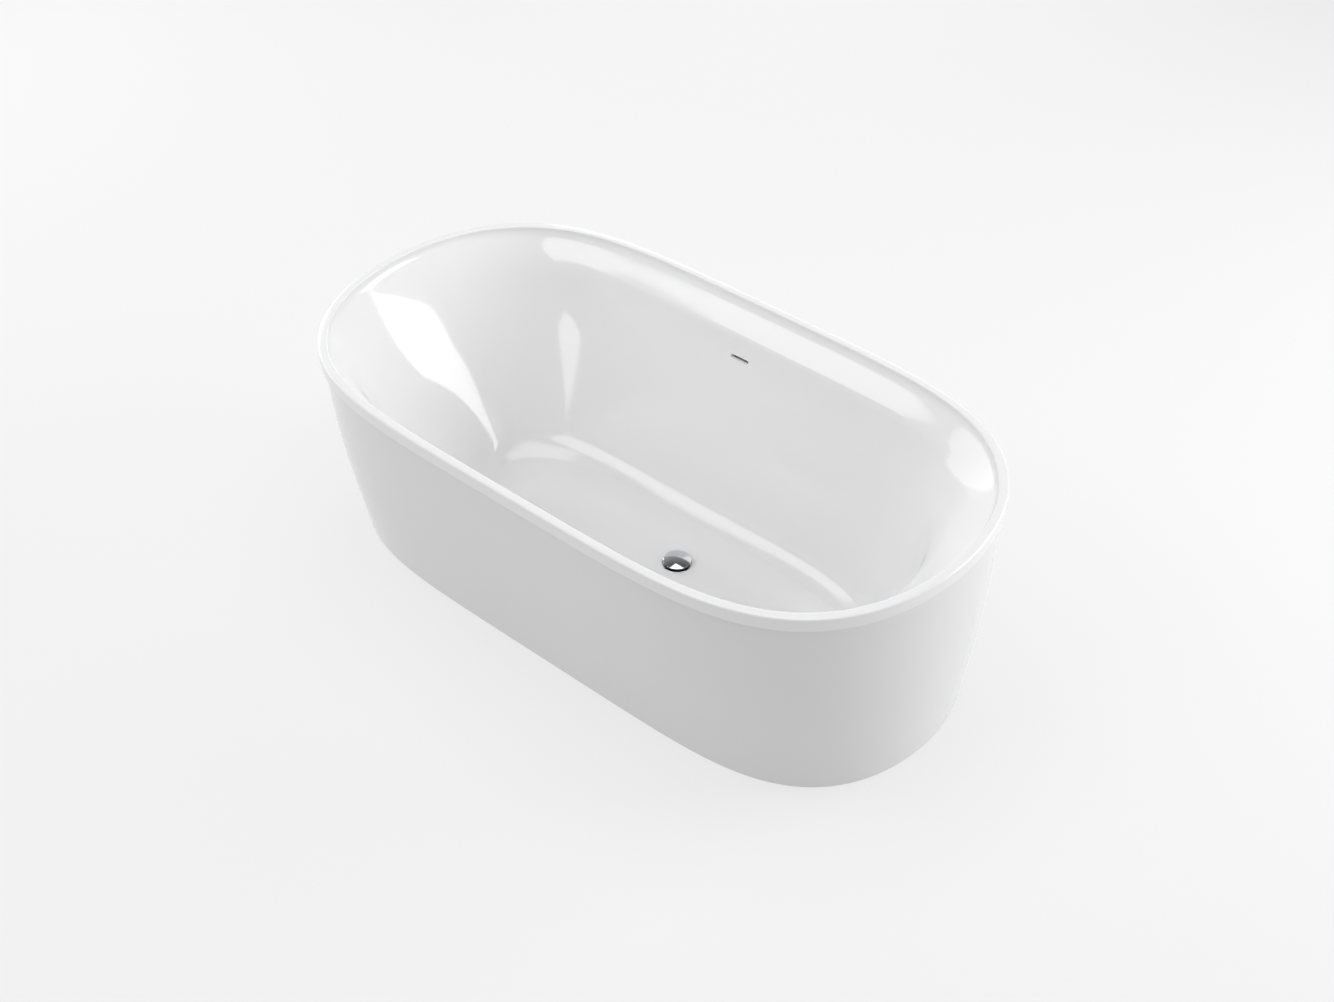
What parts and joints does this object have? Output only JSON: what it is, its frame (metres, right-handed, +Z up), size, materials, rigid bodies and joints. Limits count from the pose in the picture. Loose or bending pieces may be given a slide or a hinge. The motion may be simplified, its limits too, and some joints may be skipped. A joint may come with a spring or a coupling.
{
  "type": "freestanding bathtub",
  "caption": "Freestanding oval bathtub: rolled rim, sloped basin, tapered outer skirt, levelling frame, toe-tap waste and slot overflow.",
  "frame": {"origin": "centre of the tub's footprint on the bathroom floor, under the feet", "axes": "+X along the tub towards the steeper end, +Y across it towards the overflow, +Z up"},
  "size_m": [1.664, 0.897, 0.538],
  "materials": {
    "acrylic": "gloss",
    "skirt_acrylic": "gloss",
    "adhesive": "satin",
    "board": "matte",
    "galvanised": "satin",
    "zinc": "satin",
    "pad_rubber": "matte",
    "chrome": "polished",
    "seal_rubber": "matte",
    "brass": "satin",
    "abs": "satin",
    "pipe_plastic": "matte"
  },
  "bodies": {
    "tub": {"tub_shell": "acrylic", "skirt": "skirt_acrylic", "rim_bead": "adhesive", "floor_board": "board", "bearer_left": "galvanised", "bearer_right": "galvanised", "board_screws": "zinc", "skirt_brackets": "galvanised", "skirt_pads": "adhesive", "nuts_upper": "zinc", "nuts_lower": "zinc", "drain_flange": "chrome", "drain_gasket": "seal_rubber", "drain_nut": "brass", "drain_guide": "brass", "drain_tee": "brass", "tail_nut": "brass", "tailpiece": "chrome", "overflow_trim": "abs", "overflow_gasket": "seal_rubber", "overflow_box": "abs", "overflow_pipe": "pipe_plastic", "pipe_nuts": "pipe_plastic", "cap_spring": "zinc"},
    "cap": {"drain_cap": "chrome", "cap_seal": "seal_rubber", "cap_clip": "zinc"},
    "foot_1": {"foot_pad_1": "pad_rubber"},
    "stud_1": {"foot_stud_1": "zinc"},
    "foot_2": {"foot_pad_2": "pad_rubber"},
    "stud_2": {"foot_stud_2": "zinc"},
    "foot_3": {"foot_pad_3": "pad_rubber"},
    "stud_3": {"foot_stud_3": "zinc"},
    "foot_4": {"foot_pad_4": "pad_rubber"},
    "stud_4": {"foot_stud_4": "zinc"}
  },
  "joints": [
    {"name": "cap_press", "type": "slide", "parent": "tub", "child": "cap", "axis": [0, 0, -1], "range_m": [0, 0.006], "stiffness_N_per_m": 250, "springref_m": -0.008, "deforming": ["cap_spring"]},
    {"name": "foot_1_height", "type": "slide", "parent": "tub", "child": "foot_1", "axis": [0, 0, -1], "range_m": [0, 0.02]},
    {"name": "stud_1_turn", "type": "hinge", "parent": "foot_1", "child": "stud_1", "pos_m": [-0.3, -0.215, 0.06], "axis": [0, 0, 1], "range_deg": [0, 4114.29]},
    {"name": "foot_2_height", "type": "slide", "parent": "tub", "child": "foot_2", "axis": [0, 0, -1], "range_m": [0, 0.02]},
    {"name": "stud_2_turn", "type": "hinge", "parent": "foot_2", "child": "stud_2", "pos_m": [-0.3, 0.215, 0.06], "axis": [0, 0, 1], "range_deg": [0, 4114.29]},
    {"name": "foot_3_height", "type": "slide", "parent": "tub", "child": "foot_3", "axis": [0, 0, -1], "range_m": [0, 0.02]},
    {"name": "stud_3_turn", "type": "hinge", "parent": "foot_3", "child": "stud_3", "pos_m": [0.46, -0.215, 0.06], "axis": [0, 0, 1], "range_deg": [0, 4114.29]},
    {"name": "foot_4_height", "type": "slide", "parent": "tub", "child": "foot_4", "axis": [0, 0, -1], "range_m": [0, 0.02]},
    {"name": "stud_4_turn", "type": "hinge", "parent": "foot_4", "child": "stud_4", "pos_m": [0.46, 0.215, 0.06], "axis": [0, 0, 1], "range_deg": [0, 4114.29]}
  ],
  "couplings": [
    {"joint": "stud_1_turn", "follows": "foot_1_height", "rad_per_m": 3590},
    {"joint": "stud_2_turn", "follows": "foot_2_height", "rad_per_m": 3590},
    {"joint": "stud_3_turn", "follows": "foot_3_height", "rad_per_m": 3590},
    {"joint": "stud_4_turn", "follows": "foot_4_height", "rad_per_m": 3590}
  ]
}
